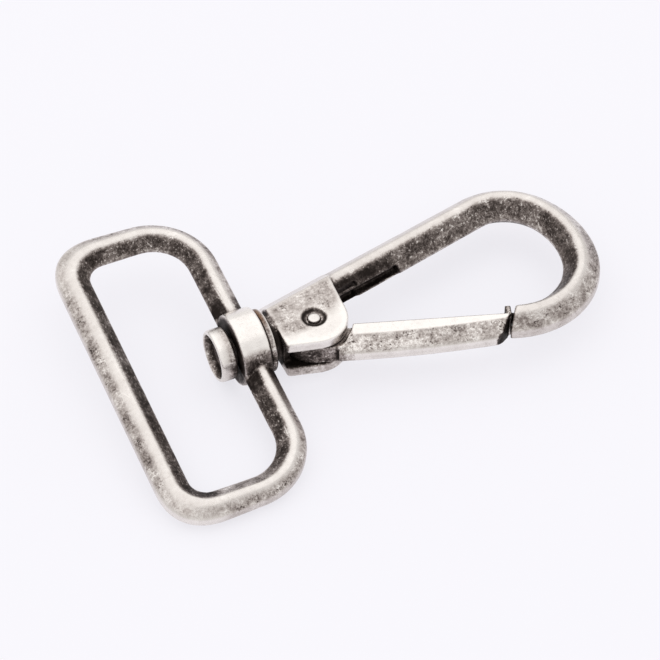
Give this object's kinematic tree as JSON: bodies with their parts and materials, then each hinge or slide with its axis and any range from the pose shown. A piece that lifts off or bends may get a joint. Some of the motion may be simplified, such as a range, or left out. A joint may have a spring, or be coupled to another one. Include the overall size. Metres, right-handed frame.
{
  "type": "swivel snap hook",
  "caption": "Swivel snap hook in antique silver: rectangular strap loop with a collar, swivel stud, cast hook with two cheeks, and a sprung gate on a rivet.",
  "frame": {"origin": "centre of the strap slot, on the swivel axis and in the mid-plane of the hook", "axes": "+X along the swivel axis towards the nose of the hook, +Y towards the spine, +Z square to the plane of the hook"},
  "size_m": [0.0743, 0.0494, 0.0104],
  "materials": {
    "cast_loop": "antique silver plating on cast zinc, dark patina rubbed back on the edges",
    "stud_metal": "antique silver plating, dark in the dished head",
    "cast_hook": "antique silver plating on cast zinc, dark patina rubbed back on the edges and cheeks",
    "cast_gate": "antique silver plating on cast zinc, mottled on the slanted face",
    "rivet_metal": "rubbed bright on its domed ends",
    "spring_steel": "dark oiled spring wire"
  },
  "bodies": {
    "hook": {"hook_body": "cast_hook", "swivel_stud": "stud_metal", "pivot_rivet": "rivet_metal", "gate_spring": "spring_steel"},
    "loop": {"strap_loop": "cast_loop"},
    "gate": {"gate": "cast_gate"}
  },
  "joints": [
    {"name": "swivel", "type": "hinge", "parent": "hook", "child": "loop", "pos_m": [0.0091, 0, 0], "axis": [1, 0, 0], "continuous": true},
    {"name": "gate_pivot", "type": "hinge", "parent": "hook", "child": "gate", "pos_m": [0.0189, -0.00157, 0], "axis": [0, 0, 1], "range_deg": [0, 30], "stiffness_Nm_per_rad": 0.08, "springref_deg": -34.38, "deforming": ["gate_spring"]}
  ]
}
